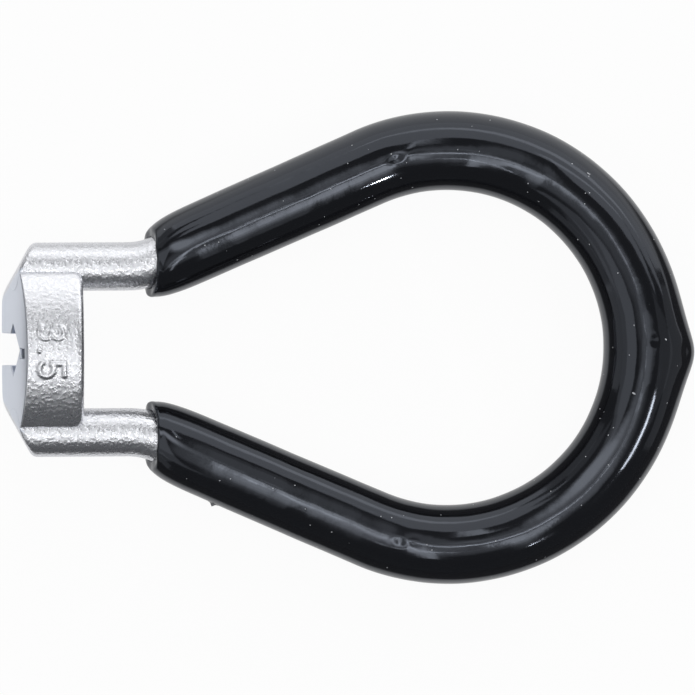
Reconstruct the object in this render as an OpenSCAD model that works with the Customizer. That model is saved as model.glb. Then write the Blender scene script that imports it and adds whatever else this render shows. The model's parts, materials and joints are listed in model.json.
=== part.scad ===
// Spoke wrench: a bent steel rod, a jaw block brazed between its two arms and a dipped grip coat.
// Millimetres. The origin is the centre of the jaw pocket on the ground front face.
// +X runs along the tool towards the closed end of the loop, the loop lies in the XY plane, +Z is up.

/* [Nipple jaw] */
// Size across the flats of the spoke nipple that the jaw turns
nipple_flats = 3.45; // [3.2:0.01:4]
// Play across the flats between the nipple and the pocket
jaw_play = 0.05; // [0.02:0.01:0.15]
// Width of the mouth that passes the spoke
mouth_w = 3.05; // [2.5:0.05:3.4]
// Width of the relief slot above the pocket's top corner
relief_w = 0.95; // [0.6:0.05:1.4]
// Metal left above the relief slot, at the front face
roof_t = 1.3; // [0.8:0.1:2]
// Tilt of the jaw to the plane of the loop, so that the spoke passes under the closed end
jaw_tilt = 12.6; // [8:0.1:18]

/* [Jaw block] */
// Height of the crowned top over the pocket's centre
crown_h = 5.45; // [5:0.05:6.2]
// Depth of the flat underside below the pocket's centre
underside_h = 4.2; // [3.4:0.05:4.6]
// Length of the block from the pocket's centre to its rear face
block_len = 6.6; // [5:0.1:8]
// Distance that the block's edge stops short of the crown of each arm
crown_gap = 0.5; // [0.2:0.1:1.2]
// Height that the block's edge stands proud of each arm
edge_step = 0.3; // [0.1:0.05:0.6]
// Radius of the block's rear corners in plan
corner_r = 0.9; // [0.4:0.1:1.5]
// Distance inside each arm's axis at which the bevel starts, level with the pocket's centre
bevel_in = 1.05; // [0.2:0.05:2]
// Angle of the bevels to the front
bevel_angle = 28; // [20:1:40]
// Film of braze between the block and each arm
braze_film = 0.05; // [0.02:0.01:0.15]

/* [Loop rod] */
// Diameter of the rod
rod_d = 4.6; // [4:0.1:5.2]
// Distance between the axes of the two arms
arm_pitch = 15.8; // [14:0.1:18]
// Straight length of each arm, from the pocket's centre to the bend
arm_len = 10.95; // [9:0.05:14]
// Radius of the bend where an arm turns into its branch
bend_r = 7.5; // [6:0.5:12]
// Angle of each branch to the tool's axis
branch_angle = 23.5; // [18:0.5:30]
// Radius of the loop, to the middle of the rod
loop_r = 18.8; // [17:0.1:22]

/* [Grip coat] */
// Thickness of the coat at its two ends
coat_end_t = 1.27; // [0.8:0.01:1.6]
// Thickness of the coat round the loop
coat_loop_t = 1.57; // [1:0.01:2.2]
// Distance from the start of the bend to the dip line, where the coat begins
dip_past_bend = 2.2; // [1:0.1:6]
// Tilt of the dip line
dip_tilt = 8; // [0:1:15]
// Diameter of the drip bead at the closed end
bead_d = 6.4; // [4:0.1:7]
// Height of the drip bead over the coat
bead_rise = 1.05; // [0.5:0.05:1.6]
// Film of primer between the rod and the coat
primer_film = 0.03; // [0.01:0.01:0.1]

/* [Hidden] */
$fn = 96;

// Rod
rod_r = rod_d / 2;
arm_y = arm_pitch / 2;
// The arms start this far in front of the pocket, and the front cut trims them
arm_stock = crown_h;

// A straight bar runs this far into the bends at its ends
lap = 0.3;
// A bend is this much fatter in radius than the straight bars, as bent bar is, and takes their ends in
bend_swell = 0.02;

// Path of one branch: from the end of the bend, straight, until it meets the loop on a tangent
bend_end = [
    arm_len + bend_r * sin(branch_angle),
    arm_y + bend_r * (1 - cos(branch_angle))
];
branch_len = (loop_r * cos(branch_angle) - bend_end[1]) / sin(branch_angle);
loop_x = bend_end[0] + branch_len * cos(branch_angle) + loop_r * sin(branch_angle);
closed_end_x = loop_x + loop_r;

// Jaw block: its crowned faces fall to a small step above the arms at the block's edge
block_half_w = arm_y - crown_gap;
edge_h = sqrt(pow(rod_r, 2) - pow(crown_gap, 2)) + edge_step;
crown_rise = crown_h - edge_h;
crown_r = (pow(block_half_w, 2) + pow(crown_rise, 2)) / (2 * crown_rise);
jaw_flats = nipple_flats + jaw_play;
relief_top = crown_h / cos(jaw_tilt) - roof_t;
// Size of a cutting block, well past the head on every side
cut = 4 * (arm_pitch + rod_d);

// Coat
coat_end_r = rod_r + coat_end_t;
coat_loop_r = rod_r + coat_loop_t;
dip_x = arm_len + dip_past_bend;
bead_r = bead_d / 2;

// A shape and its mirror image across the tool's axis
module both_sides() {
    children();
    mirror([0, 1, 0]) children();
}

// Everything on the -X side of the plane x = 0
module front_half() {
    translate([-cut, -cut / 2, -cut / 2]) cube(cut);
}

// Round bar along an arc in the plane of the loop
module arc_bar(centre, arc_r, bar_r, from, turn) {
    translate([centre[0], centre[1], 0])
        rotate([0, 0, from])
            rotate_extrude(angle = turn)
                translate([arc_r, 0])
                    circle(bar_r);
}

// Straight arms
module arms(bar_r) {
    both_sides()
        translate([-arm_stock, arm_y, 0])
            rotate([0, 90, 0])
                cylinder(h = arm_stock + arm_len + lap, r = bar_r);
}

// Round bar along the whole path, tapering on the branches
module run(end_r, loop_bar_r) {
    arms(end_r);
    both_sides() {
        arc_bar([arm_len, arm_y + bend_r], bend_r, end_r + bend_swell, -90, branch_angle);
        translate([bend_end[0], bend_end[1], 0])
            rotate([0, 90, branch_angle])
                translate([0, 0, -lap])
                    cylinder(h = branch_len + 2 * lap, r1 = end_r, r2 = loop_bar_r);
    }
    arc_bar([loop_x, 0], loop_r, loop_bar_r + bend_swell, -branch_angle - 90, 2 * branch_angle + 180);
}

// Metal taken off in front by the ground face and the two bevels
module front_cut() {
    rotate([0, jaw_tilt, 0]) front_half();
    both_sides()
        translate([0, arm_y - bevel_in, 0])
            rotate([0, 0, -bevel_angle])
                front_half();
}

// Pocket, mouth and relief slot, along the tilted axis of the jaw
module jaw_opening() {
    rotate([0, jaw_tilt, 0])
        rotate([90, 0, 90])
            linear_extrude(height = cut, center = true) {
                rotate(45) square(jaw_flats, center = true);
                translate([-mouth_w / 2, -cut]) square([mouth_w, cut]);
                translate([-relief_w / 2, 0]) square([relief_w, relief_top]);
            }
}

// Block between the arms, with round rear corners, as seen from above
module block_plan() {
    translate([-arm_stock, -block_half_w])
        square([arm_stock + block_len - corner_r, 2 * block_half_w]);
    translate([0, corner_r - block_half_w])
        square([block_len, 2 * (block_half_w - corner_r)]);
    for (side = [-1, 1])
        translate([block_len - corner_r, side * (block_half_w - corner_r)])
            circle(corner_r);
}

// Bar between two crowned faces, thickest over the tool's axis, with the middle of its underside cut flat
module crowned_bar() {
    intersection() {
        intersection_for(side = [-1, 1])
            translate([0, 0, side * (crown_r - crown_h)])
                rotate([0, 90, 0])
                    cylinder(h = cut, r = crown_r, center = true);
        translate([-cut / 2, -cut / 2, -underside_h]) cube(cut);
    }
}

module loop_rod() {
    color([0.80, 0.81, 0.83])
        difference() {
            run(rod_r, rod_r);
            front_cut();
        }
}

module jaw_block() {
    color([0.76, 0.78, 0.81])
        difference() {
            intersection() {
                linear_extrude(height = cut, center = true) block_plan();
                crowned_bar();
            }
            arms(rod_r + braze_film);
            front_cut();
            jaw_opening();
        }
}

module grip_coat() {
    color([0.03, 0.03, 0.035])
        difference() {
            union() {
                run(coat_end_r, coat_loop_r);
                translate([closed_end_x + coat_loop_r + bead_rise - bead_r, 0, 0])
                    sphere(bead_r);
            }
            run(rod_r + primer_film, rod_r + primer_film);
            translate([dip_x, 0, 0])
                rotate([0, dip_tilt, 0])
                    front_half();
        }
}

loop_rod();
jaw_block();
grip_coat();
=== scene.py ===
import json
import math

import bmesh
import bpy
import numpy as np
from bpy.props import FloatProperty, FloatVectorProperty, PointerProperty
from mathutils import Matrix, Vector


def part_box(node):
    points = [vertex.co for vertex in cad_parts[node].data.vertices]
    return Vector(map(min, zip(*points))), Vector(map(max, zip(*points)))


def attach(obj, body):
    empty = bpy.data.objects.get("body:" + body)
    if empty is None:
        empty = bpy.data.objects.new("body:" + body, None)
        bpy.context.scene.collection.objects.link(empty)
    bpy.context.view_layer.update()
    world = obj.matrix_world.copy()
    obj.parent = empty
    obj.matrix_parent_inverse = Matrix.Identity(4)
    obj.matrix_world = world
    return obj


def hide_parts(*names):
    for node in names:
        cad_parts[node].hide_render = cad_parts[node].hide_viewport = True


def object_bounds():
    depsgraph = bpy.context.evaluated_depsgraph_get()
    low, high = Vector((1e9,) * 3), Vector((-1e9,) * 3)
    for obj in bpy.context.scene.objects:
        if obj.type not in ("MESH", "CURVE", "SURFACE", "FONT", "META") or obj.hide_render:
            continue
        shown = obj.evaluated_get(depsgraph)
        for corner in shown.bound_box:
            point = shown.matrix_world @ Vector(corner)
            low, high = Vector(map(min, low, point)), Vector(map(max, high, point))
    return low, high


bl_info = {
    "name": "Spoke Wrench",
    "version": (1, 0, 0),
    "blender": (4, 5, 0),
    "location": "View3D > Sidebar > Wrench",
    "description": "Bent rod, cast jaw block and dipped grip of a spoke wrench, with a plain studio",
    "category": "Add Mesh",
}

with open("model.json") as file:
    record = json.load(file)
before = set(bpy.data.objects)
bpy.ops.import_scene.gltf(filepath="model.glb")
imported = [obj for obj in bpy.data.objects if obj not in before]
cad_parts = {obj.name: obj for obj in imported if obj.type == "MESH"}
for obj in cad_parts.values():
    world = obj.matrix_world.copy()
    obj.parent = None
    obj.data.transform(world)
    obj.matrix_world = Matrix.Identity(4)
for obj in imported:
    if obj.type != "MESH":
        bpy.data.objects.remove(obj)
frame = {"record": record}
CAD_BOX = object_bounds()

MM = 0.001
BODY = "root"

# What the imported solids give: the bent rod's reach, the block's height and width, and the tilt of the jaw
ROD_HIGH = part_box("loop_rod")[1]
BLOCK_LOW, BLOCK_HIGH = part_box("jaw_block")
JAW_AXIS = next(m["axis"] for m in frame["record"]["mounts"] if m["name"] == "nipple_pocket")
JAW_TILT = math.atan2(JAW_AXIS[2], -JAW_AXIS[0])

# Fineness of the surfaces
ROD_SIDES = 96
ROD_STEP = 0.5 * MM
ARM_STEP = 0.2 * MM
COAT_SIDES = 112
COAT_STEP = 0.28 * MM
CORE_STEP = 1.2 * MM
ROUND_ROWS = 8
CAP_ROWS = 12
FACE_ROWS = 5
BLOCK_PITCH = 0.09 * MM
# Steps in which the dip line is found on the coat
DIP_STEPS = 12
# Half the width over which the rod's ground end turns into cast skin
GROUND_BLEND = 0.05 * MM
# Height between overhead lamps, so that those that overlap add up
LAMP_GAP = 0.01
# Height of the panels that stand round the tool
UPRIGHT_HEIGHT = 0.9
# Height of the glows that light one side of the loop only
LOW_CEILING = 0.3


def length(name, description, default):
    """A property for a length in metres."""
    return FloatProperty(name=name, description=description, default=default, unit="LENGTH", precision=5)


def angle(name, description, default):
    """A property for an angle, given here in degrees."""
    return FloatProperty(name=name, description=description, default=math.radians(default), subtype="ANGLE")


def colour(name, description, default):
    """A property for a linear colour."""
    return FloatVectorProperty(
        name=name, description=description, default=default, subtype="COLOR", size=3, min=0.0, max=1.0
    )


class RodSizes(bpy.types.PropertyGroup):
    """Sizes of the bent rod"""

    diameter: length("Diameter", "Diameter of the rod", 4.6 * MM)
    arm_pitch: length("Arm pitch", "Distance between the axes of the two arms", 15.8 * MM)
    arm_length: length("Arm length", "Straight length from the pocket's centre to the bend", 10.95 * MM)
    bend_radius: length("Bend radius", "Radius of the bend from an arm into its branch", 7.5 * MM)
    branch_angle: angle("Branch angle", "Angle of a branch to the tool's axis", 23.5)
    loop_radius: length("Loop radius", "Radius of the loop to the rod's middle", ROD_HIGH.y - ROD_HIGH.z)
    end_rounding: length("End rounding", "Rounding of the free edge round each cut end", 0.45 * MM)


class JawSizes(bpy.types.PropertyGroup):
    """Sizes of the jaw block"""

    flats: length("Pocket flats", "Size of the square pocket across its flats", 3.5 * MM)
    mouth_width: length("Mouth width", "Width of the mouth that passes the spoke", 3.05 * MM)
    relief_width: length("Relief width", "Width of the relief slot above the pocket", 0.95 * MM)
    relief_offset: length("Relief offset", "Distance of the slot to the side of the pocket", -0.3 * MM)
    relief_web: length("Relief web", "Skin of plating between the pocket's corner and the slot", 0.2 * MM)
    roof: length("Roof", "Metal left above the relief slot", 1.3 * MM)
    tilt: FloatProperty(name="Tilt", description="Tilt of the jaw", default=JAW_TILT, subtype="ANGLE")
    crown: length("Crown", "Height of the figures on the crowned top over the pocket's centre", BLOCK_HIGH.z)
    underside: length("Underside", "Depth of the flat underside below the pocket's centre", -BLOCK_LOW.z)
    depth: length("Depth", "Length from the pocket's centre to the rear face", BLOCK_HIGH.x)
    half_width: length("Half width", "Distance from the tool's axis to the block's edge", BLOCK_HIGH.y)
    edge_step: length("Edge step", "Height that the block's edge stands proud of an arm", 0.3 * MM)
    braze: length("Braze", "Depth to which the braze runs into the seam of an arm", 0.04 * MM)
    corner_radius: length("Corner radius", "Radius of the rear corners in plan", 0.9 * MM)
    bevel_inset: length("Bevel inset", "Distance inside an arm's axis at which the bevel starts", 1.05 * MM)
    bevel_angle: angle("Bevel angle", "Angle of the bevels to the front", 28)
    cast_rounding: length("Cast rounding", "Rounding of the block's cast edges", 0.8 * MM)
    lap_rounding: length("Lap rounding", "Rounding of the edges that lap the arms", 0.34 * MM)
    front_rounding: length("Front rounding", "Rounding where a bevel leaves the ground face", 0.35 * MM)
    ground_rounding: length("Ground rounding", "Rounding of the edges of ground and broached faces", 0.1 * MM)
    mark_height: length("Mark height", "Height of the raised size figures", 2.4 * MM)
    mark_stroke: length("Mark stroke", "Width of a stroke of the size figures", 0.42 * MM)
    mark_relief: length("Mark relief", "Height of the size figures over the block", 0.14 * MM)
    mark_blend: length("Mark blend", "Half the width over which a figure's edge rises", 0.13 * MM)
    mark_place: length("Mark place", "Distance of the middle of the figures behind the pocket", 3.5 * MM)


class GripSizes(bpy.types.PropertyGroup):
    """Sizes of the dipped coat"""

    end_wall: length("End wall", "Thickness of the coat at its lip", 0.80 * MM)
    early_gain: length("Early gain", "Thickness that the coat gains just behind the lip", 0.57 * MM)
    early_reach: length("Early reach", "Distance over which the coat gains that", 1.2 * MM)
    late_gain: length("Late gain", "Thickness that the coat gains from there to the closed end", 0.2 * MM)
    lip_rounding: length("Lip rounding", "Rounding of the lip's outer edge", 0.3 * MM)
    dip_past_bend: length("Dip line", "Distance from the start of the bend to the dip line", 2.1 * MM)
    dip_tilt: angle("Dip tilt", "Tilt of the dip line", 10.5)
    film: length("Film", "Film of primer between the rod and the coat", 0.03 * MM)
    drip_rise: length("Drip rise", "Height of the drip nub at the closed end", 0.99 * MM)
    drip_spread: length("Drip spread", "Half the width of the drip nub along the loop", 2.85 * MM)
    drip_waist: length("Drip waist", "Half the width of the drip nub across the loop", 2.3 * MM)
    drip_offset: length("Drip offset", "Distance of the nub from the middle of the closed end", -0.5 * MM)


class StageSizes(bpy.types.PropertyGroup):
    """Places of the camera and the lamps"""

    camera_height: length("Camera height", "Height of the camera over the loop's plane", 900 * MM)
    camera_back: length("Camera back", "Distance of the camera in front of the pocket", 29.86 * MM)
    camera_side: length("Camera side", "Distance of the camera to the side of the tool's axis", 17.32 * MM)
    target_along: length("Target along", "Place on the tool's axis at the middle of the picture", 31.91 * MM)
    target_across: length("Target across", "Distance of that place from the axis", 0.054 * MM)
    roll: angle("Roll", "Turn of the camera about its line of sight", -0.242)
    focal_length: FloatProperty(
        name="Focal length", description="Focal length of the lens in millimetres", default=489.9
    )
    floor_width: length("Floor width", "Width of the floor", 6.0)
    ceiling: length("Ceiling", "Height of the overhead lamps", 0.8)


class WrenchColours(bpy.types.PropertyGroup):
    """Colours of the finishes"""

    steel: colour("Plated steel", "Plating on the cast skin", (0.79, 0.798, 0.83))
    pit: colour("Plating in pits", "Plating in the hollows of the cast skin", (0.75, 0.758, 0.79))
    ground: colour("Ground steel", "Ground face and broached pocket", (0.77, 0.81, 0.89))
    vinyl: colour("Vinyl", "Dipped coat", (0.006, 0.006, 0.007))
    dust: colour("Dust", "Specks of dust on the coat", (0.55, 0.56, 0.58))
    floor: colour("Floor", "Plain floor", (0.88, 0.88, 0.88))
    # Painted dark reflection: the colour that the floor shows only in reflections away from the tool
    painted_dark_reflection: colour("Painted dark reflection", "Where the floor ends in reflections", (0.12, 0.12, 0.125))
    room: colour("Room", "Dim light from all round", (0.10, 0.104, 0.11))


class WrenchSettings(bpy.types.PropertyGroup):
    """All that a user would change"""

    rod: PointerProperty(type=RodSizes)
    jaw: PointerProperty(type=JawSizes)
    grip: PointerProperty(type=GripSizes)
    stage: PointerProperty(type=StageSizes)
    colours: PointerProperty(type=WrenchColours)


class RodPath:
    """The rod's centre line, by distance from the middle of the closed end along either side."""

    def __init__(self, rod):
        self.angle = rod.branch_angle
        self.loop_r = rod.loop_radius
        self.bend_r = rod.bend_radius
        self.arm_y = rod.arm_pitch / 2
        self.arm_length = rod.arm_length
        bend_x = self.arm_length + self.bend_r * math.sin(self.angle)
        bend_y = self.arm_y + self.bend_r * (1 - math.cos(self.angle))
        self.branch_length = (self.loop_r * math.cos(self.angle) - bend_y) / math.sin(self.angle)
        self.loop_x = bend_x + self.branch_length * math.cos(self.angle) + self.loop_r * math.sin(self.angle)
        self.loop_end = self.loop_r * (math.pi / 2 + self.angle)
        self.branch_end = self.loop_end + self.branch_length
        self.bend_end = self.branch_end + self.bend_r * self.angle

    def at(self, s):
        """Centre x, y and outward direction x, y at distances s, which are positive on the +Y side.

        The line turns through the loop, runs straight down a branch, turns back through the bend and runs
        straight along an arm. Each stretch adds its own displacement, clipped to its own length.
        """
        side = np.where(s < 0, -1.0, 1.0)
        along = np.abs(s)
        turn = np.minimum(along, self.loop_end) / self.loop_r
        branch = np.clip(along - self.loop_end, 0, self.branch_length)
        back = np.clip(along - self.branch_end, 0, self.bend_r * self.angle) / self.bend_r
        arm = np.maximum(along - self.bend_end, 0)
        sin_a, cos_a = math.sin(self.angle), math.cos(self.angle)
        x = self.loop_x + self.loop_r * np.cos(turn) - branch * cos_a - arm
        x = x + self.bend_r * (np.sin(self.angle - back) - sin_a)
        y = self.loop_r * np.sin(turn) - branch * sin_a + self.bend_r * (cos_a - np.cos(self.angle - back))
        heading = turn - back
        return x, y * side, np.cos(heading), np.sin(heading) * side

    def tube(self, s, radius, theta):
        """Points at a radius round the line: centre + radius (cos theta outward + sin theta up)."""
        s, radius, theta = np.broadcast_arrays(s, radius, theta)
        x, y, out_x, out_y = self.at(s)
        across = radius * np.cos(theta)
        return np.stack([x + across * out_x, y + across * out_y, radius * np.sin(theta)], axis=-1)


def round_angles(sides):
    """Angles of one ring, as a row."""
    return np.linspace(0, 2 * math.pi, sides, endpoint=False)[None, :]


def steps(start, end, step):
    """Places from start to end, both kept, about a step apart."""
    return np.linspace(start, end, max(2, round(abs(end - start) / step) + 1))


def soft_max(a, b, reach):
    """The larger of two fields, rounded where they differ by less than the reach."""
    near = np.maximum(reach - np.abs(a - b), 0) / reach
    return np.maximum(a, b) + near * near * reach / 4


def smooth_step(low, high, value):
    """0 below low, 1 above high and a cubic between them."""
    t = np.clip((value - low) / (high - low), 0, 1)
    return t * t * (3 - 2 * t)


def grid_quads(rows, columns, close_rows):
    """Quads between neighbours of a grid whose columns close into rings, and whose rows may close too."""
    row, column = np.meshgrid(np.arange(rows if close_rows else rows - 1), np.arange(columns), indexing="ij")
    next_row, next_column = (row + 1) % rows, (column + 1) % columns
    corners = [(row, column), (next_row, column), (next_row, next_column), (row, next_column)]
    return np.stack([r * columns + c for r, c in corners], axis=-1).reshape(-1, 4)


def new_piece(name, points, quads, material, node):
    """A smooth closed mesh that stands in for a solid and rides on the part."""
    mesh = bpy.data.meshes.new(name)
    mesh.from_pydata(points.reshape(-1, 3).tolist(), [], quads.tolist())
    piece = bpy.data.objects.new(name, mesh)
    bpy.context.scene.collection.objects.link(piece)
    mesh.materials.append(material)
    mesh.shade_smooth()
    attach(piece, BODY)
    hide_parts(node)
    return piece


def set_mask(piece, name, values):
    """Keeps a value for each point of a piece's mesh, for its material to read."""
    mask = piece.data.attributes.new(name, "FLOAT", "POINT")
    mask.data.foreach_set("value", values.astype(np.float32).ravel())


def merge_poles(piece):
    """Merges the points of a ring of no size into one."""
    work = bmesh.new()
    work.from_mesh(piece.data)
    bmesh.ops.remove_doubles(work, verts=work.verts, dist=1e-4 * MM)
    work.to_mesh(piece.data)
    work.free()


def front_planes(jaw, arm_y, y, z):
    """x of the tilted ground face and of the bevel on each side, over a place in the front view."""
    face = z * math.tan(jaw.tilt)
    bevel = (np.abs(y) - (arm_y - jaw.bevel_inset)) * math.tan(jaw.bevel_angle)
    return face, bevel


def rod_surface(rod, jaw, path):
    """Points, quads and ground mask of the bare rod.

    A ring of the rod's radius is carried along the centre line. Each end runs up to the cut of the front,
    turns in over an edge that is rounded where the block leaves it free and closes over the cut to a pole.
    """
    theta = round_angles(ROD_SIDES)
    radius = rod.diameter / 2
    seam_start, seam_end, seam_share = jaw.half_width - 0.1 * MM, jaw.half_width + 0.7 * MM, 0.05
    free = smooth_step(seam_start, seam_end, path.arm_y + radius * np.cos(theta))
    rounding = rod.end_rounding * (seam_share + (1 - seam_share) * free)
    lean = np.linspace(0, math.pi / 2, ROUND_ROWS)[:, None]
    inward = np.linspace(1, 0, CAP_ROWS)[1:, None]
    cap_radius = np.concatenate([radius - rounding * (1 - np.cos(lean)), (radius - rounding) * inward])
    setback = np.concatenate([rounding * (1 - np.sin(lean)), 0 * inward * theta])
    cap_y, cap_z = path.arm_y + cap_radius * np.cos(theta), cap_radius * np.sin(theta)
    face, bevel = front_planes(jaw, path.arm_y, cap_y, cap_z)
    cap_s = path.bend_end + path.arm_length - soft_max(face, bevel, rod.end_rounding) - setback
    share = steps(0, 1, ARM_STEP / rod.arm_length)[1:-1, None]
    arm_s = path.bend_end + share * (cap_s[:1] - path.bend_end)
    loop_s = np.repeat(steps(0, path.bend_end, ROD_STEP)[:, None], ROD_SIDES, axis=1)
    half_s = np.concatenate([loop_s, arm_s, cap_s])
    plain = len(loop_s) + len(arm_s)
    half_radius = np.concatenate([np.full((plain, ROD_SIDES), radius), cap_radius])
    cap_ground = smooth_step(-GROUND_BLEND, GROUND_BLEND, face - bevel)
    half_ground = np.concatenate([np.zeros((plain, ROD_SIDES)), cap_ground])
    s = np.concatenate([-half_s[:0:-1], half_s])
    rings = np.concatenate([half_radius[:0:-1], half_radius])
    ground = np.concatenate([half_ground[:0:-1], half_ground])
    return path.tube(s, rings, theta), grid_quads(len(s), ROD_SIDES, False), ground


# Marks in the coat: place along the rod, angle round it, height or depth, length and width
BULGES = (
    (33.4 * MM, math.radians(84), 0.05 * MM, 1.3 * MM, 0.9 * MM),
    (-33.9 * MM, math.radians(93), 0.05 * MM, 1.0 * MM, 0.8 * MM),
    (-52.0 * MM, 0.0, 0.34 * MM, 0.22 * MM, 0.25 * MM),
)
DENTS = (
    (34.8 * MM, math.radians(91), 0.08 * MM, 0.85 * MM, 0.45 * MM),
    (-34.4 * MM, math.radians(86), 0.05 * MM, 0.6 * MM, 0.45 * MM),
    (0.6 * MM, math.radians(80), 0.05 * MM, 0.6 * MM, 0.45 * MM),
    (-0.4 * MM, math.radians(28), 0.10 * MM, 0.8 * MM, 0.5 * MM),
)
# Slow swells of the coat: height, waves along the rod in a metre, waves round it and phase
COAT_SWELLS = ((0.008 * MM, 62, 1, 0.3), (0.005 * MM, 141, 2, 1.9), (0.002 * MM, 263, 3, 4.1))
# How fast the drip nub falls away along the loop
DRIP_FALL = 1.1
# Waves of the dip line: height, waves round the rod and phase
LIP_WAVES = ((0.05 * MM, 3, 0.4), (0.03 * MM, 8, 2.2))


def mark_radius(s, theta, radius, mark):
    """Height of a mark and the square of the distance from it, in its own length and width."""
    place, turn, height, long, wide = mark
    off = np.angle(np.exp(1j * (theta - turn))) * radius
    return height, ((s - place) / long) ** 2 + (off / wide) ** 2


def coat_radius(rod, grip, s, theta, lip_s):
    """Outer radius of the coat at distances s and angles theta, with its lips at distance lip_s.

    The wall starts at end_wall, gains early_gain on a falling exponential and late_gain in a straight line,
    and carries slow sine swells. The drip nub is a bell along the loop times a Gaussian round the rod.
    A bulge is a Gaussian both ways, and a dent is one with a raised rim, exp(-r2) (1 - r2).
    """
    past_lip = np.maximum(lip_s - np.abs(s), 0)
    wall = grip.end_wall + grip.early_gain * (1 - np.exp(-past_lip / grip.early_reach))
    radius = rod.diameter / 2 + wall + grip.late_gain * past_lip / lip_s
    for height, waves, lobes, phase in COAT_SWELLS:
        radius = radius + height * np.sin(2 * math.pi * waves * s + lobes * theta + phase)
    around = np.abs(np.angle(np.exp(1j * theta)))
    stretch = (rod.loop_radius + radius) / rod.loop_radius
    along = (s - grip.drip_offset) * stretch / grip.drip_spread
    nub = grip.drip_rise / (1 + along**2) ** DRIP_FALL
    marked = radius + nub * np.exp(-((around * radius / grip.drip_waist) ** 2))
    for bulge in BULGES:
        height, r2 = mark_radius(s, theta, radius, bulge)
        marked = marked + height * np.exp(-r2)
    for dent in DENTS:
        depth, r2 = mark_radius(s, theta, radius, dent)
        marked = marked - depth * np.exp(-r2) * (1 - r2)
    return marked


def dip_edge(rod, grip, path, radius, theta):
    """Distance along the rod at which the coat ends, at places of this radius and angle.

    The coat ends at the x where the tilted dip line meets its outside, and the line waves a little. The
    distance grows by what a place lacks in x, which settles in a few steps as x falls about as fast.
    """
    radius, theta = np.broadcast_arrays(radius, theta)
    outside = rod.diameter / 2 + grip.end_wall
    dip_x = path.arm_length + grip.dip_past_bend + outside * np.sin(theta) * math.tan(grip.dip_tilt)
    for height, lobes, phase in LIP_WAVES:
        dip_x = dip_x + height * np.sin(lobes * theta + phase)
    s = np.full(radius.shape, path.branch_end)
    for _ in range(DIP_STEPS):
        s = s + path.tube(s, radius, theta)[..., 0] - dip_x
    return s


def lip_rows(rod, grip, path, outer_r, theta):
    """Distances and radii of a lip: over its rounded outer edge and down its face to just above the rod."""
    lean = np.linspace(0, math.pi / 2, ROUND_ROWS)[1:, None]
    round_r = outer_r - grip.lip_rounding * (1 - np.cos(lean))
    round_s = dip_edge(rod, grip, path, round_r, theta) - grip.lip_rounding * (1 - np.sin(lean))
    inside = rod.diameter / 2 + grip.film
    share = np.linspace(0, 1, FACE_ROWS)[1:-1, None]
    face_r = round_r[-1:] + share * (inside - round_r[-1:])
    face_s = dip_edge(rod, grip, path, face_r, theta)
    return np.concatenate([round_s, face_s]), np.concatenate([round_r, face_r])


def coat_surface(rod, grip, path):
    """Points and quads of the dipped coat.

    Rings run along the outside from one lip to the other, over that lip, back along the inside and over the
    first lip, so that the grid closes both ways.
    """
    theta = round_angles(COAT_SIDES)
    inside = np.full_like(theta, rod.diameter / 2 + grip.film)
    lip_s = dip_edge(rod, grip, path, rod.diameter / 2 + grip.end_wall, theta)
    share = np.linspace(-1, 1, round(2 * path.branch_end / COAT_STEP))[:, None]
    outer_s = share * (lip_s - grip.lip_rounding)
    outer_r = coat_radius(rod, grip, outer_s, theta, lip_s)
    last_s, last_r = lip_rows(rod, grip, path, outer_r[-1:], theta)
    first_s, first_r = lip_rows(rod, grip, path, outer_r[:1], theta)
    core_share = np.linspace(1, -1, round(2 * path.branch_end / CORE_STEP))[:, None]
    core_s = core_share * dip_edge(rod, grip, path, inside, theta)
    s = np.concatenate([outer_s, last_s, core_s, -first_s[::-1]])
    radius = np.concatenate([outer_r, last_r, np.broadcast_to(inside, core_s.shape), first_r[::-1]])
    return path.tube(s, radius, theta), grid_quads(len(s), COAT_SIDES, True)


def arc_distance(u, v, centre, radius, start, turn):
    """Distance from places to an arc: to the circle within its sweep, and to its nearer end elsewhere."""
    du, dv = u - centre[0], v - centre[1]
    middle, half = start + turn / 2, abs(turn) / 2
    off = np.abs(np.angle(np.exp(1j * (np.arctan2(dv, du) - middle))))
    ends = [
        np.hypot(du - radius * math.cos(a), dv - radius * math.sin(a)) for a in (start, start + turn)
    ]
    return np.where(off <= half, np.abs(np.hypot(du, dv) - radius), np.minimum(*ends))


def line_distance(u, v, start, end):
    """Distance from places to a straight stroke with round ends."""
    run = (end[0] - start[0], end[1] - start[1])
    share = ((u - start[0]) * run[0] + (v - start[1]) * run[1]) / (run[0] ** 2 + run[1] ** 2)
    share = np.clip(share, 0, 1)
    return np.hypot(u - start[0] - share * run[0], v - start[1] - share * run[1])


def figures_distance(jaw, x, y):
    """Distance from places on the block's top to the strokes of the size figures 3.5.

    The figures stand up towards +X and read towards -Y. A three is two arcs, the point is a dot, and a five
    is an arc, an upright and a bar.
    """
    bowl = jaw.mark_height / 4
    space = 2 * bowl + 1.3 * jaw.mark_stroke
    v = x - jaw.mark_place + 2 * bowl
    u = -y
    three, five = -space, space
    belly = 1.15 * bowl
    belly_start = math.radians(135)
    three_sweep, five_sweep = math.radians(-240), math.radians(-285)
    upright = (five + belly * math.cos(belly_start), belly * (1 + math.sin(belly_start)))
    shoulder = (upright[0], 4 * bowl)
    strokes = (
        arc_distance(u, v, (three, 3 * bowl), bowl, math.radians(150), three_sweep),
        arc_distance(u, v, (three, bowl), bowl, math.radians(90), three_sweep),
        np.hypot(u, v),
        arc_distance(u, v, (five, belly), belly, belly_start, five_sweep),
        line_distance(u, v, upright, shoulder),
        line_distance(u, v, shoulder, (five + bowl, 4 * bowl)),
    )
    return np.minimum.reduce(strokes)


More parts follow.
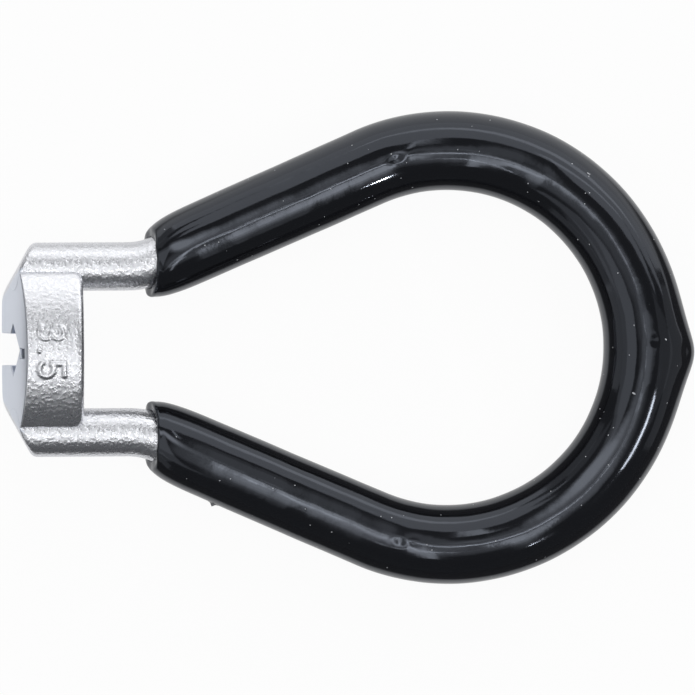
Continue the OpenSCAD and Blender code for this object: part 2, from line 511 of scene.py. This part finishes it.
def block_fields(rod, jaw, x, y, z):
    """Fields of the block, below zero in the metal: the cast body, the ground face, the front and the pocket.

    The body is the overlap of two crowned faces, a flat underside, a plan with round rear corners and the
    room that the arms leave. The front is the ground face and the two bevels. The pocket is a square on
    its corner, a mouth below it and a slot above it, all along the tilted axis.
    """
    side = np.abs(y)
    arm_y = rod.arm_pitch / 2
    radius = rod.diameter / 2
    top = jaw.crown - jaw.mark_relief
    edge_z = math.sqrt(radius**2 - (arm_y - jaw.half_width) ** 2) + jaw.edge_step
    crown_r = (jaw.half_width**2 + (top - edge_z) ** 2) / (2 * (top - edge_z))
    crown = np.hypot(y, np.abs(z) + crown_r - top) - crown_r
    edge, blend = jaw.mark_stroke / 2, jaw.mark_blend
    raised = smooth_step(-edge - blend, blend - edge, -figures_distance(jaw, x, y))
    crown = crown - jaw.mark_relief * raised * (z > 0)
    crown = soft_max(crown, -z - jaw.underside, jaw.cast_rounding)
    past_x = x - (jaw.depth - jaw.corner_radius)
    past_y = side - (jaw.half_width - jaw.corner_radius)
    outside = np.hypot(np.maximum(past_x, 0), np.maximum(past_y, 0))
    plan = outside + np.minimum(np.maximum(past_x, past_y), 0) - jaw.corner_radius
    rear = smooth_step(0, jaw.corner_radius, past_x)
    lap = soft_max(crown, plan, jaw.lap_rounding)
    cast = soft_max(crown, plan, jaw.cast_rounding)
    body = lap + (cast - lap) * rear
    arms = radius - jaw.braze - np.hypot(side - arm_y, z)
    body = soft_max(body, arms, jaw.ground_rounding)
    sin_b, cos_b = math.sin(jaw.bevel_angle), math.cos(jaw.bevel_angle)
    bevel = (side - (arm_y - jaw.bevel_inset)) * sin_b - x * cos_b
    face = z * math.sin(jaw.tilt) - x * math.cos(jaw.tilt)
    front = soft_max(face, bevel, jaw.front_rounding)
    rise = z * math.cos(jaw.tilt) + x * math.sin(jaw.tilt)
    square = (side + np.abs(rise)) / math.sqrt(2) - jaw.flats / 2
    mouth = np.maximum(side - jaw.mouth_width / 2, rise)
    relief_top = jaw.crown / math.cos(jaw.tilt) - jaw.roof
    relief_base = jaw.flats / math.sqrt(2) + jaw.relief_web
    relief = np.maximum(np.abs(y - jaw.relief_offset) - jaw.relief_width / 2, rise - relief_top)
    relief = np.maximum(relief, relief_base - rise)
    pocket = -np.minimum(np.minimum(square, mouth), relief)
    return body, face, front, pocket


def block_field(rod, jaw, points):
    """One field for the whole block at points given as rows."""
    body, _, front, pocket = block_fields(rod, jaw, points[..., 0], points[..., 1], points[..., 2])
    ground = jaw.ground_rounding
    return soft_max(soft_max(body, front, ground), pocket, ground)


def field_slope(field, points, reach):
    """Slope of a field at points, from the difference across a short reach along each axis."""
    slopes = []
    for axis in np.eye(3) * reach:
        slopes.append((field(points + axis) - field(points - axis)) / (2 * reach))
    return np.stack(slopes, axis=-1)


def field_surface(field, axes, turn, pitch):
    """Points and quads of the closed surface on which a field is zero.

    The field is worked out on a grid, whose axes are turned into the part's frame by the matrix. Each cell
    that the surface crosses gets one point, the mean of the crossings on the cell's edges, which three
    steps down the field's slope then draw onto the surface. Each crossed edge gets the quad of its four
    cells, turned to face the side where the field grows.
    """
    grid = np.stack(np.meshgrid(*axes, indexing="ij"), axis=-1)
    values = field(grid @ turn.T)
    shape = np.array(values.shape)
    weights = np.array([shape[1] * shape[2], shape[2], 1])
    total = np.zeros((values.size, 3))
    count = np.zeros(values.size)
    quads = []
    for axis in range(3):
        low = np.take(values, np.arange(shape[axis] - 1), axis=axis)
        high = np.take(values, np.arange(1, shape[axis]), axis=axis)
        cell = np.argwhere((low < 0) != (high < 0))
        before, after = low[tuple(cell.T)], high[tuple(cell.T)]
        crossing = cell.astype(float)
        crossing[:, axis] += before / (before - after)
        first, second = (axis + 1) % 3, (axis + 2) % 3
        ring = []
        for step_first, step_second in ((0, 0), (-1, 0), (-1, -1), (0, -1)):
            owner = cell.copy()
            owner[:, first] += step_first
            owner[:, second] += step_second
            owner = owner @ weights
            ring.append(owner)
            for part in range(3):
                total[:, part] += np.bincount(owner, crossing[:, part], values.size)
            count += np.bincount(owner, minlength=values.size)
        quad = np.stack(ring, axis=-1)
        leaving = before < after
        quads.append(np.where(leaving[:, None], quad, quad[:, ::-1]))
    used = np.flatnonzero(count)
    number = np.zeros(values.size, int)
    number[used] = np.arange(len(used))
    start = np.array([a[0] for a in axes])
    points = (start + total[used] / count[used, None] * pitch) @ turn.T
    for _ in range(3):
        slope = field_slope(field, points, pitch / 8)
        size = np.maximum(np.sum(slope**2, axis=-1, keepdims=True), 0.1)
        points = points - np.clip(field(points)[:, None] * slope / size, -pitch / 2, pitch / 2)
    return points, number[np.concatenate(quads)]


def block_surface(rod, jaw):
    """Points, quads and ground mask of the jaw block, on a grid that is tilted with the jaw."""
    margin = 4 * BLOCK_PITCH
    turn = np.array(Matrix.Rotation(jaw.tilt, 3, "Y"))
    reach = jaw.crown + jaw.depth * math.sin(jaw.tilt)
    deep = jaw.depth + jaw.crown * math.sin(jaw.tilt)
    spans = ((0.0, deep), (-jaw.half_width, jaw.half_width), (-reach, reach))
    axes = [np.arange(low - margin, high + margin, BLOCK_PITCH) for low, high in spans]
    points, quads = field_surface(lambda p: block_field(rod, jaw, p), axes, turn, BLOCK_PITCH)
    _, face, _, pocket = block_fields(rod, jaw, *points.T)
    cast_end, ground_start = -0.06 * MM, -0.02 * MM
    ground = smooth_step(cast_end, ground_start, np.maximum(face, pocket))
    return points, quads, ground


def fill(tree, node, inputs):
    """Gives a node's inputs plain values, or links them to other nodes' sockets."""
    for name, value in inputs.items():
        if isinstance(value, bpy.types.NodeSocket):
            tree.links.new(value, node.inputs[name])
        else:
            node.inputs[name].default_value = value


def add_node(tree, kind, inputs=None, **settings):
    """A node with its settings and then its inputs filled."""
    made = tree.nodes.new(kind)
    for name, value in settings.items():
        setattr(made, name, value)
    fill(tree, made, inputs or {})
    return made


def work_out(tree, operation, *values):
    """Result of an operation on values or sockets."""
    return add_node(tree, "ShaderNodeMath", dict(enumerate(values)), operation=operation).outputs[0]


def object_place(tree):
    """Places in the piece's own frame."""
    return add_node(tree, "ShaderNodeTexCoord").outputs["Object"]


def noise(tree, place, scale, detail, roughness):
    """Value of a noise at a place."""
    inputs = {"Vector": place, "Scale": scale, "Detail": detail, "Roughness": roughness}
    return add_node(tree, "ShaderNodeTexNoise", inputs).outputs["Fac"]


def map_value(tree, value, start, end, first=0.0, last=1.0, fade="LINEAR"):
    """A value carried from one range to another and kept inside it."""
    inputs = {"Value": value, "From Min": start, "From Max": end, "To Min": first, "To Max": last}
    return add_node(tree, "ShaderNodeMapRange", inputs, interpolation_type=fade).outputs["Result"]


def bumped(tree, height, depth):
    """Normal of a surface that rises by a depth as its height goes from 0 to 1."""
    inputs = {"Strength": 1.0, "Distance": depth, "Height": height}
    return add_node(tree, "ShaderNodeBump", inputs).outputs["Normal"]


def mix_colours(tree, share, first, second):
    """A colour mix whose ends are colours or sockets."""
    ends = [end if isinstance(end, bpy.types.NodeSocket) else (*end, 1.0) for end in (first, second)]
    return add_node(tree, "ShaderNodeMix", {0: share, 6: ends[0], 7: ends[1]}, data_type="RGBA").outputs[2]


def mix_values(tree, share, first, second):
    """A mix of two values, either of which may be a socket."""
    return add_node(tree, "ShaderNodeMix", {0: share, 2: first, 3: second}, data_type="FLOAT").outputs[0]


def new_group(name, inputs, outputs):
    """An empty shader group with float sockets, and its input and output nodes."""
    tree = bpy.data.node_groups.new(name, "ShaderNodeTree")
    for socket, default in inputs.items():
        made = tree.interface.new_socket(name=socket, in_out="INPUT", socket_type="NodeSocketFloat")
        made.default_value = default
    for socket in outputs:
        tree.interface.new_socket(name=socket, in_out="OUTPUT", socket_type="NodeSocketFloat")
    return tree, tree.nodes.new("NodeGroupInput"), tree.nodes.new("NodeGroupOutput")


def cast_skin_group():
    """Height and hollows of a plated casting: fine grain over a coarser orange peel."""
    name = "Cast Skin"
    if name in bpy.data.node_groups:
        return bpy.data.node_groups[name]
    flat, deep, grain_share = 0.52, 0.30, 0.3
    tree, given, result = new_group(name, {"Scale": 2900.0, "Fineness": 2.6}, ("Height", "Hollows"))
    place = object_place(tree)
    fine_scale = work_out(tree, "MULTIPLY", given.outputs["Scale"], given.outputs["Fineness"])
    peel = noise(tree, place, given.outputs["Scale"], 1.0, 0.45)
    grain = noise(tree, place, fine_scale, 2.0, 0.5)
    height = work_out(tree, "MULTIPLY_ADD", grain, grain_share, peel)
    fill(tree, result, {"Height": height, "Hollows": map_value(tree, peel, flat, deep)})
    return tree


def specks_group():
    """Mask of small specks near the middle of a chosen few of a pattern's cells, drawn out by a stretch."""
    name = "Specks"
    if name in bpy.data.node_groups:
        return bpy.data.node_groups[name]
    sockets = {"Scale": 500.0, "Size": 0.07, "Share": 0.5, "Stretch": 1.0, "Turn": 0.0}
    tree, group, result = new_group(name, sockets, ("Mask",))
    given = group.outputs
    turn = {"Vector": object_place(tree), "Angle": given["Turn"]}
    turned = add_node(tree, "ShaderNodeVectorRotate", turn, rotation_type="Z_AXIS").outputs[0]
    stretch = add_node(tree, "ShaderNodeCombineXYZ", {"X": given["Stretch"], "Y": 1.0, "Z": 1.0}).outputs[0]
    drawn = add_node(tree, "ShaderNodeVectorMath", {0: turned, 1: stretch}, operation="DIVIDE").outputs[0]
    cells = add_node(tree, "ShaderNodeTexVoronoi", {"Vector": drawn, "Scale": given["Scale"]}).outputs
    near = work_out(tree, "LESS_THAN", cells["Distance"], given["Size"])
    parts = add_node(tree, "ShaderNodeSeparateColor", {"Color": cells["Color"]}).outputs
    chosen = work_out(tree, "LESS_THAN", parts["Red"], given["Share"])
    fill(tree, result, {"Mask": work_out(tree, "MULTIPLY", near, chosen)})
    return tree


def empty_material(name):
    """A material with an empty node tree and its output."""
    material = bpy.data.materials.new(name)
    material.use_nodes = True
    tree = material.node_tree
    tree.nodes.clear()
    return material, tree, tree.nodes.new("ShaderNodeOutputMaterial")


def finish_material(name):
    """A material with a Principled shader on its output."""
    material, tree, output = empty_material(name)
    shader = tree.nodes.new("ShaderNodeBsdfPrincipled")
    fill(tree, output, {"Surface": shader.outputs["BSDF"]})
    return material, tree, shader


def plated_steel(colours):
    """Bright plating over a cast skin, which the ground mask turns into a smooth ground face."""
    cast_rough, hollow_rough, ground_rough = 0.27, 0.33, 0.36
    grain_depth, ground_height = 0.058 * MM, 0.5
    material, tree, shader = finish_material("Plated Steel")
    skin = add_node(tree, "ShaderNodeGroup", node_tree=cast_skin_group()).outputs
    ground = add_node(tree, "ShaderNodeAttribute", attribute_name="ground").outputs["Fac"]
    cast_colour = mix_colours(tree, skin["Hollows"], colours.steel, colours.pit)
    rough = mix_values(tree, skin["Hollows"], cast_rough, hollow_rough)
    height = mix_values(tree, ground, skin["Height"], ground_height)
    finish = {
        "Metallic": 1.0,
        "Base Color": mix_colours(tree, ground, cast_colour, colours.ground),
        "Roughness": mix_values(tree, ground, rough, ground_rough),
        "Normal": bumped(tree, height, grain_depth),
    }
    fill(tree, shader, finish)
    return material


# Specks of dust on the coat: round ones, and fewer that are drawn out to flecks
DUST = (
    {"Scale": 950.0, "Size": 0.055, "Share": 0.75},
    {"Scale": 620.0, "Size": 0.045, "Share": 0.4, "Stretch": 3.0, "Turn": 0.5},
)


def dipped_vinyl(colours):
    """Glossy black vinyl with a slow ripple, fine scuffs, dull smudges and specks of dust."""
    clean_rough, smudge_rough, dust_rough = 0.07, 0.16, 0.7
    smudge_start, smudge_full = 0.4, 0.75
    ripple_depth, scuff_share = 0.02 * MM, 0.15
    material, tree, shader = finish_material("Dipped Vinyl")
    place = object_place(tree)
    specks = [add_node(tree, "ShaderNodeGroup", kind, node_tree=specks_group()) for kind in DUST]
    dust = work_out(tree, "MAXIMUM", *[group.outputs["Mask"] for group in specks])
    smudge = noise(tree, place, 160.0, 4.0, 0.6)
    rough = map_value(tree, smudge, smudge_start, smudge_full, clean_rough, smudge_rough)
    ripple = noise(tree, place, 420.0, 1.0, 0.4)
    scuff = noise(tree, place, 1900.0, 2.0, 0.5)
    height = work_out(tree, "MULTIPLY_ADD", scuff, scuff_share, ripple)
    finish = {
        "IOR": 1.65,
        "Specular Tint": (0.79, 0.86, 1.0, 1.0),
        "Base Color": mix_colours(tree, dust, colours.vinyl, colours.dust),
        "Roughness": mix_values(tree, dust, rough, dust_rough),
        "Normal": bumped(tree, height, ripple_depth),
    }
    fill(tree, shader, finish)
    return material


def floor_paint(colours):
    """Plain floor that keeps its shadows, and is white to the camera.

    In reflections it is painted: pale near by and behind the tool, and a painted dark reflection elsewhere.
    """
    # Painted reflection of the floor: pale out to a short reach and behind the tool, painted dark beyond
    camera_share, near_share, behind_share = 0.95, 0.5, 0.8
    near_end, dark_reflection_start = 8.5 * MM, 13 * MM
    behind_start, behind_full = 16 * MM, 30 * MM
    material, tree, output = empty_material("Studio Floor")
    rays = add_node(tree, "ShaderNodeLightPath").outputs
    across = add_node(tree, "ShaderNodeSeparateXYZ", {0: object_place(tree)}).outputs["Y"]
    near = map_value(tree, rays["Ray Length"], near_end, dark_reflection_start, 1.0, 0.0, "SMOOTHSTEP")
    behind = map_value(tree, across, behind_start, behind_full, fade="SMOOTHSTEP")
    bounced = work_out(tree, "MAXIMUM", rays["Is Glossy Ray"], rays["Is Transmission Ray"])
    far = work_out(tree, "SUBTRACT", 1.0, work_out(tree, "MAXIMUM", near, behind))
    # Share of the painted dark reflection: reflection rays that reach past the pale zones
    painted_dark_reflection = work_out(tree, "MULTIPLY", far, bounced)
    # Painted pale reflection: white in reflections near by and behind the tool
    near_glow = work_out(tree, "MULTIPLY", near, near_share)
    behind_glow = work_out(tree, "MULTIPLY", behind, behind_share)
    glow = work_out(tree, "MULTIPLY", work_out(tree, "MAXIMUM", near_glow, behind_glow), bounced)
    direct = work_out(tree, "MULTIPLY", rays["Is Camera Ray"], camera_share)
    share = work_out(tree, "MAXIMUM", direct, glow)
    # Floor colour, turned to the painted dark reflection where only reflections see it
    paint = mix_colours(tree, painted_dark_reflection, colours.floor, colours.painted_dark_reflection)
    lit = add_node(tree, "ShaderNodeBsdfDiffuse", {"Color": paint}).outputs[0]
    white = add_node(tree, "ShaderNodeEmission", {"Strength": 1.0}).outputs[0]
    mix = add_node(tree, "ShaderNodeMixShader", {0: share, 1: lit, 2: white}).outputs[0]
    fill(tree, output, {"Surface": mix})
    return material


def add_lamp(name, place, facing, along, width, height, radiance, shape="ELLIPSE", beam=math.pi):
    """A soft panel, unseen by the camera, whose width runs along a direction, with its light as radiance.

    A beam of less than half a turn narrows the light, which is brightest straight ahead: Blender keeps the
    power, so the radiance there grows by tan(half) / (tan(half) - half).
    """
    data = bpy.data.lights.new(name, "AREA")
    data.shape = shape
    data.size = width
    data.size_y = height
    area = width * height * (math.pi / 4 if shape == "ELLIPSE" else 1)
    half = beam / 2
    gain = math.tan(half) / (math.tan(half) - half) if beam < math.pi else 1
    data.spread = beam
    data.energy = radiance * math.pi * area / gain
    lamp = bpy.data.objects.new(name, data)
    bpy.context.scene.collection.objects.link(lamp)
    back, side = -Vector(facing).normalized(), Vector(along).normalized()
    turned = Matrix((side, back.cross(side), back)).transposed().to_4x4()
    lamp.matrix_world = Matrix.Translation(place) @ turned
    lamp.visible_camera = False


def add_upright(name, place, facing, width, radiance):
    """A panel that stands on the floor's level and faces along it."""
    centre = (*place, UPRIGHT_HEIGHT / 2)
    along = (-facing[1], facing[0], 0)
    add_lamp(name, centre, (*facing, 0), along, width, UPRIGHT_HEIGHT, radiance, "RECTANGLE")


def add_overhead(stage, name, over, bearing, width, height, radiance, shape="ELLIPSE", high=None):
    """A panel that faces down, placed and sized for a height of 1; each hangs a little above the last."""
    high = high or stage.ceiling + LAMP_GAP * len(bpy.data.lights)
    place = (stage.target_along + over[0] * high, over[1] * high, high)
    turn = math.radians(bearing)
    along = (math.cos(turn), math.sin(turn), 0)
    add_lamp(name, place, (0, 0, -1), along, width * high, height * high, radiance, shape)


def add_ray(stage, name, start, bearing, width, layers, high=None):
    """A glow that fades along its bearing: panels that start together, each with its length and radiance."""
    turn = math.radians(bearing)
    for reach, radiance in layers:
        over = (start[0] + math.cos(turn) * reach / 2, start[1] + math.sin(turn) * reach / 2)
        add_overhead(stage, name, over, bearing, reach, width, radiance, high=high)


def add_glow(stage, name, over, bearing, width, height, layers):
    """A glow that fades outwards: panels about one middle, each with its share of the size and radiance."""
    for share, radiance in layers:
        add_overhead(stage, name, over, bearing, width * share, height * share, radiance)


def camera_place(stage):
    """The camera's place, over the head."""
    return Vector((-stage.camera_back, stage.target_across + stage.camera_side, stage.camera_height))


def add_glint(stage, path, glint):
    """A narrow beam that the coat mirrors into the camera at one spot, so that only this spot flashes.

    The spot is given by its distance along the rod, its radius and its angle, as every place on the coat is.
    """
    name, s, radius, theta, reach, width, height, radiance, beam = glint
    spot = Vector(path.tube(s, radius, theta))
    normal = (spot - Vector(path.tube(s, 0, theta))).normalized()
    view = (camera_place(stage) - spot).normalized()
    towards = 2 * normal.dot(view) * normal - view
    along = normal.cross(Vector((0, 0, 1)))
    side = along - towards * along.dot(towards)
    add_lamp(name, spot + towards * reach, -towards, side, width, height, radiance, "RECTANGLE", beam)


# Overhead panels, for a height of 1: name, place, bearing, width, height and radiance
KEY_PANELS = (
    ("key_main", (1.05, 1.85), 0, 3.10, 2.10, 1.0),
    ("key_corner", (-0.73, 2.05), 0, 0.46, 1.70, 1.0),
    ("key_right", (0.86, 0.64), 75, 0.66, 0.70, 1.0),
    ("key_end", (1.935, 0.675), 0, 1.33, 0.25, 1.0),
)
FILL_PANELS = (
    ("left_near", (-0.88, -0.12), 90, 0.95, 0.86, 0.35),
    ("left_wide", (-1.45, -0.35), 90, 1.70, 2.00, 0.45),
    ("left_low", (-1.75, -1.45), 225, 1.60, 1.00, 0.25),
    ("back_low", (-1.55, 1.35), 135, 1.50, 0.75, 0.25),
    ("right_wide", (1.60, -0.15), 0, 1.60, 0.70, 0.2),
)
STRIPS = (
    ("head_upper", (0.015, 0.60), 90, 0.40, 0.07, 2.2),
    ("head_lower", (0.015, -0.55), 90, 0.80, 0.07, 2.6),
    ("low_strip", (-0.01, -0.50), 47, 0.34, 0.012, 8.0),
    ("far_strip", (0.84, -0.38), 66, 0.28, 0.15, 18.0),
)
# Upright panels: name, place, facing, width and radiance
UPRIGHTS = (
    ("key_side", (0.64, 1.74), (-0.37, -0.93), 4.5, 1.0),
    ("left_side", (-2.20, -0.20), (1, 0), 1.6, 0.4),
    ("left_far", (-1.90, -1.60), (0.76, 0.65), 1.6, 0.25),
    ("back_side", (-1.60, 1.60), (0.7, -0.7), 1.4, 0.25),
    ("right_side", (1.90, -0.20), (-1, 0), 1.4, 0.25),
)
# Glows along the coat's crown: the kind, then what its function takes after the stage
GLOWS = (
    (add_glow, "glow_wide", (0.0, -0.30), 0, 0.90, 0.80, ((1.0, 0.15), (0.85, 0.15), (0.7, 0.15))),
    (add_glow, "streak", (0.104, -0.096), 23.5, 0.10, 0.045, ((1.0, 5.0),)),
    (add_ray, "glow_right", (0.13, -0.16), -66.5, 0.075, ((0.33, 1.1), (0.48, 0.8), (0.64, 0.6), (1.1, 0.5))),
    (
        add_ray, "glow_left", (0.06, -0.02), 246.5, 0.065,
        ((0.14, 1.0), (0.4, 0.5), (0.55, 0.5), (0.7, 0.4), (0.9, 0.3), (1.2, 0.3)),
    ),
    (
        add_glow, "glow_back", (-0.27, 0.30), 135, 0.95, 0.36,
        ((1.0, 0.35), (0.85, 0.45), (0.7, 0.7), (0.55, 0.9)),
    ),
    (add_ray, "glow_far", (0.144, -0.019), 0, 0.12, ((0.3, 0.8), (0.5, 0.5)), LOW_CEILING),
    (add_ray, "glow_low", (0.129, -0.034), -45, 0.12, ((0.2, 0.7), (0.4, 0.6), (0.5, 0.4)), LOW_CEILING),
    (add_ray, "glow_front", (0.06, 0.03), 66, 0.12, ((0.5, 0.25), (0.7, 0.3))),
)
# The dash where a branch meets the loop: place along the rod, radius and angle of the spot, reach, width,
# height and radiance of the lamp, and its beam
DASH = ("dash", 36.45 * MM, 3.87 * MM, math.radians(113.6), 0.12, 0.002, 0.05, 1500.0, math.radians(1.5))


def add_lamps(stage, path):
    """Every lamp, in the order that sets how high each overhead panel hangs."""
    for panel in KEY_PANELS:
        add_overhead(stage, *panel, shape="RECTANGLE")
    for panel in UPRIGHTS:
        add_upright(*panel)
    for panel in FILL_PANELS:
        add_overhead(stage, *panel, shape="RECTANGLE")
    for add, *glow in GLOWS:
        add(stage, *glow)
    for panel in STRIPS:
        add_overhead(stage, *panel, shape="RECTANGLE")
    add_glint(stage, path, DASH)


def add_camera(stage):
    """The camera over the head, tilted to the middle of the tool, with its roll about the line of sight."""
    place = camera_place(stage)
    target = Vector((stage.target_along, stage.target_across, 0))
    ahead = (target - place).normalized()
    right = ahead.cross(Vector((-math.sin(stage.roll), math.cos(stage.roll), 0))).normalized()
    up = right.cross(ahead)
    data = bpy.data.cameras.new("Camera")
    data.lens = stage.focal_length
    data.clip_start = 0.05
    data.clip_end = 10.0
    camera = bpy.data.objects.new("Camera", data)
    bpy.context.scene.collection.objects.link(camera)
    turned = Matrix((right, up, -ahead)).transposed().to_4x4()
    camera.matrix_world = Matrix.Translation(place) @ turned
    bpy.context.scene.camera = camera


class WRENCH_OT_bare_rod(bpy.types.Operator):
    """Build the bent rod with its two bevelled ends"""

    bl_idname = "wrench.bare_rod"
    bl_label = "Bent rod"

    def execute(self, context):
        settings = context.scene.spoke_wrench
        points, quads, ground = rod_surface(settings.rod, settings.jaw, RodPath(settings.rod))
        piece = new_piece(
            "bent_rod", points, quads, plated_steel(settings.colours), "loop_rod"
        )
        set_mask(piece, "ground", ground)
        merge_poles(piece)
        return {"FINISHED"}


class WRENCH_OT_jaw_block(bpy.types.Operator):
    """Build the cast jaw block with its pocket and its raised size figures"""

    bl_idname = "wrench.jaw_block"
    bl_label = "Jaw block"

    def execute(self, context):
        settings = context.scene.spoke_wrench
        points, quads, ground = block_surface(settings.rod, settings.jaw)
        piece = new_piece(
            "cast_jaw", points, quads, bpy.data.materials["Plated Steel"], "jaw_block"
        )
        set_mask(piece, "ground", ground)
        return {"FINISHED"}


class WRENCH_OT_dipped_grip(bpy.types.Operator):
    """Build the dipped coat with its lips and its drip nub"""

    bl_idname = "wrench.dipped_grip"
    bl_label = "Dipped grip"

    def execute(self, context):
        settings = context.scene.spoke_wrench
        points, quads = coat_surface(settings.rod, settings.grip, RodPath(settings.rod))
        new_piece("dipped_grip", points, quads, dipped_vinyl(settings.colours), "grip_coat")
        return {"FINISHED"}


class WRENCH_OT_studio(bpy.types.Operator):
    """Build the floor, the lamps, the camera and the world"""

    bl_idname = "wrench.studio"
    bl_label = "Studio"

    def execute(self, context):
        scene = context.scene
        settings = scene.spoke_wrench
        half = settings.stage.floor_width / 2
        level = CAD_BOX[0].z
        mesh = bpy.data.meshes.new("floor")
        corners = [(-half, -half, level), (half, -half, level), (half, half, level), (-half, half, level)]
        mesh.from_pydata(corners, [], [(0, 1, 2, 3)])
        mesh.materials.append(floor_paint(settings.colours))
        floor = bpy.data.objects.new("floor", mesh)
        scene.collection.objects.link(floor)

        add_lamps(settings.stage, RodPath(settings.rod))
        add_camera(settings.stage)

        world = bpy.data.worlds.new("Studio")
        world.use_nodes = True
        room = world.node_tree.nodes["Background"]
        fill(world.node_tree, room, {"Color": (*settings.colours.room, 1.0), "Strength": 1.0})
        scene.world = world
        scene.view_settings.view_transform = "Standard"
        return {"FINISHED"}


class WRENCH_PT_sidebar(bpy.types.Panel):
    """Lists the pieces of the wrench and its stage"""

    bl_idname = "WRENCH_PT_sidebar"
    bl_label = "Spoke Wrench"
    bl_space_type = "VIEW_3D"
    bl_region_type = "UI"
    bl_category = "Wrench"

    def draw(self, context):
        settings = context.scene.spoke_wrench
        for step in STEPS:
            self.layout.operator(step.bl_idname)
        for group in (settings.rod, settings.jaw, settings.grip, settings.stage, settings.colours):
            box = self.layout.box()
            for name in group.__annotations__:
                box.prop(group, name)


STEPS = (WRENCH_OT_bare_rod, WRENCH_OT_jaw_block, WRENCH_OT_dipped_grip, WRENCH_OT_studio)
SETTINGS = (RodSizes, JawSizes, GripSizes, StageSizes, WrenchColours, WrenchSettings)
CLASSES = (*SETTINGS, *STEPS, WRENCH_PT_sidebar)


def register():
    """Registers the classes and the scene's settings."""
    for item in CLASSES:
        bpy.utils.register_class(item)
    bpy.types.Scene.spoke_wrench = PointerProperty(type=WrenchSettings)


def unregister():
    """Takes the settings and the classes away again."""
    del bpy.types.Scene.spoke_wrench
    for item in reversed(CLASSES):
        bpy.utils.unregister_class(item)


def main():
    """Builds every piece and the stage."""
    register()
    bpy.ops.wrench.bare_rod()
    bpy.ops.wrench.jaw_block()
    bpy.ops.wrench.dipped_grip()
    bpy.ops.wrench.studio()


if __name__ == "__main__":
    main()
